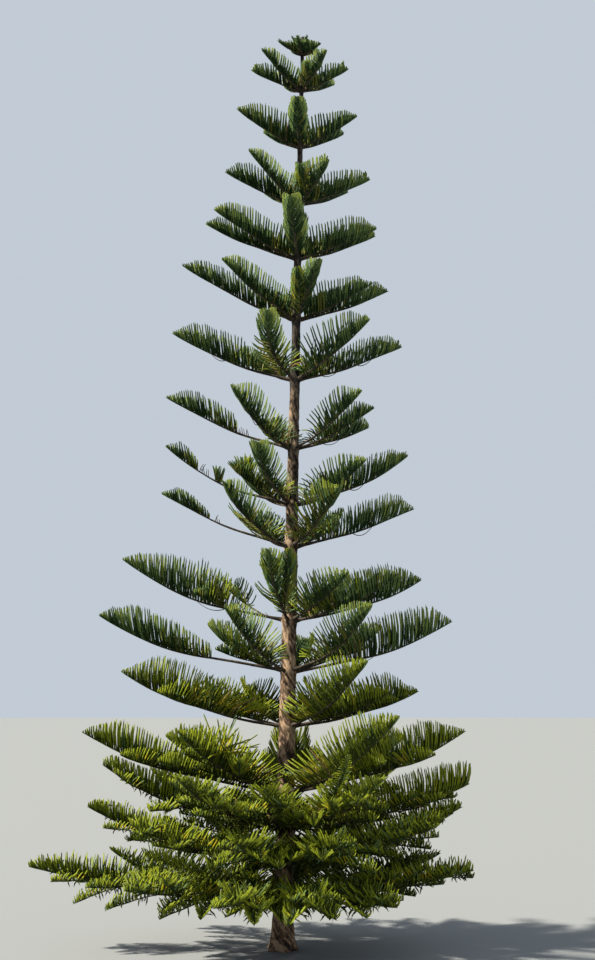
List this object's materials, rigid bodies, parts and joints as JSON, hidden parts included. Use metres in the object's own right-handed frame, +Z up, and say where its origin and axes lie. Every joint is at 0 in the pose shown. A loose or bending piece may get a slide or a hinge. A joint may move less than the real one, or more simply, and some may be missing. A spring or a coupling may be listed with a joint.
{
  "type": "young tiered araucaria conifer tree",
  "caption": "Tall young araucaria conifer with a straight bare trunk and level whorls of upswept fronds, rooted in the ground.",
  "frame": {"origin": "where the trunk's axis meets the ground, on the flat cut under the trunk", "axes": "+Z up the trunk, -Y towards the side that the picture shows, +X to its right"},
  "size_m": [7.267, 5.5126, 16],
  "materials": {
    "trunk_bark": "rough grey-brown bark in fine flakes",
    "bough_bark": "dark rough bark of the limbs",
    "foliage": "short stiff green needles on cord-like branchlets",
    "low_foliage": "yellower green needles of the lower crown"
  },
  "bodies": {
    "root": {"bough_08_1": "bough_bark", "bough_08_2": "bough_bark", "bough_08_6": "bough_bark", "bough_09_2": "bough_bark", "bough_09_3": "bough_bark", "bough_09_7": "bough_bark", "bough_10_2": "bough_bark", "bough_10_3": "bough_bark", "bough_10_5": "bough_bark", "bough_11_2": "bough_bark", "bough_11_6": "bough_bark", "bough_12_2": "bough_bark", "bough_12_4": "bough_bark", "bough_12_5": "bough_bark", "crown_tip": "foliage", "frond_08_1": "foliage", "frond_08_2": "foliage", "frond_08_3": "foliage", "frond_08_4": "foliage", "frond_08_5": "foliage", "frond_08_6": "foliage", "frond_09_1": "foliage", "frond_09_2": "foliage", "frond_09_3": "foliage", "frond_09_4": "foliage", "frond_09_5": "foliage", "frond_09_6": "foliage", "frond_09_7": "foliage", "frond_10_1": "foliage", "frond_10_2": "foliage", "frond_10_3": "foliage", "frond_10_4": "foliage", "frond_10_5": "foliage", "frond_10_6": "foliage", "frond_11_1": "foliage", "frond_11_2": "foliage", "frond_11_3": "foliage", "frond_11_4": "foliage", "frond_11_5": "foliage", "frond_11_6": "foliage", "frond_11_7": "foliage", "frond_12_1": "foliage", "frond_12_2": "foliage", "frond_12_3": "foliage", "frond_12_4": "foliage", "frond_12_5": "foliage", "frond_12_6": "foliage", "frond_12_7": "foliage", "tier_02_fronds": "foliage", "tier_03_fronds": "foliage", "tier_04_fronds": "foliage", "tier_05_fronds": "foliage", "tier_06_fronds": "foliage", "tier_07_fronds": "foliage", "tier_13_fronds": "low_foliage", "tier_14_fronds": "low_foliage", "tier_15_fronds": "low_foliage", "tier_16_fronds": "low_foliage", "tier_17_fronds": "low_foliage", "trunk": "trunk_bark"}
  },
  "joints": []
}
